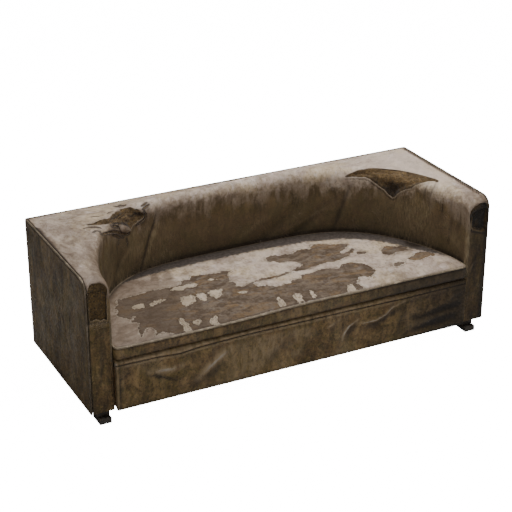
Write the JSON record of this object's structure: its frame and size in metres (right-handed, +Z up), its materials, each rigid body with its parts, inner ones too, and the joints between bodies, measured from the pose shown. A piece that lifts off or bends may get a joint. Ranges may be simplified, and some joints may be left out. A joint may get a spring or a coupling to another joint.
{
  "type": "worn leather sofa",
  "caption": "Boxed leather sofa with a curved inside wall, a loose seat cushion and block feet, torn, peeled and stained by long use.",
  "frame": {"origin": "centre of the whole object's outline seen from above, on the floor under the feet", "axes": "+X along the sofa to the right as seen from the front, +Y from the front to the back, +Z up"},
  "size_m": [2.2, 0.836, 0.7544],
  "materials": {
    "cover_leather": "pale worn leather, matt and dry, stained darker down the inside wall",
    "panel_leather": "dark olive-brown worn leather, streaked and matt",
    "seat_leather": "pale leather whose finish has peeled off in large dark patches",
    "piping_leather": "rubbed leather welt with worn stitches",
    "padding": "rough brown hair padding",
    "hardwood": "unfinished sawn hardwood",
    "plywood": "unfinished plywood",
    "fibreboard": "thin stiff fibreboard",
    "webbing": "woven jute webbing",
    "cambric": "thin black dust cloth",
    "foot_wood": "dark stained wood, chipped and dusty",
    "bolt_steel": "dull zinced steel"
  },
  "bodies": {
    "root": {"inside_cover": "cover_leather", "left_side_cover": "panel_leather", "right_side_cover": "panel_leather", "back_cover": "panel_leather", "left_arm_front_cover": "panel_leather", "right_arm_front_cover": "panel_leather", "front_panel_cover": "panel_leather", "seat_cushion": "seat_leather", "outer_piping": "piping_leather", "seat_piping": "piping_leather", "inside_padding": "padding", "left_arm_front_padding": "padding", "right_arm_front_padding": "padding", "front_panel_padding": "padding", "seat_deck": "padding", "front_panel_board": "hardwood", "front_seat_rail": "hardwood", "back_base_rail": "hardwood", "back_seat_rail": "hardwood", "back_top_rail": "hardwood", "left_base_rail": "hardwood", "right_base_rail": "hardwood", "left_seat_rail": "hardwood", "right_seat_rail": "hardwood", "left_top_rail": "hardwood", "right_top_rail": "hardwood", "left_cross_rail": "hardwood", "right_cross_rail": "hardwood", "front_left_post": "hardwood", "front_right_post": "hardwood", "back_left_post": "hardwood", "back_right_post": "hardwood", "back_left_stud": "hardwood", "back_right_stud": "hardwood", "left_ledger": "hardwood", "right_ledger": "hardwood", "inner_shell": "plywood", "left_top_board": "plywood", "back_top_board": "plywood", "right_top_board": "plywood", "left_side_liner": "fibreboard", "right_side_liner": "fibreboard", "back_liner": "fibreboard", "webbing_strap_1": "webbing", "webbing_strap_2": "webbing", "webbing_strap_3": "webbing", "webbing_strap_4": "webbing", "webbing_strap_5": "webbing", "webbing_strap_6": "webbing", "webbing_strap_7": "webbing", "dust_cover": "cambric", "front_left_foot": "foot_wood", "front_right_foot": "foot_wood", "back_left_foot": "foot_wood", "back_right_foot": "foot_wood", "front_left_foot_bolt": "bolt_steel", "front_right_foot_bolt": "bolt_steel", "back_left_foot_bolt": "bolt_steel", "back_right_foot_bolt": "bolt_steel"}
  },
  "joints": []
}
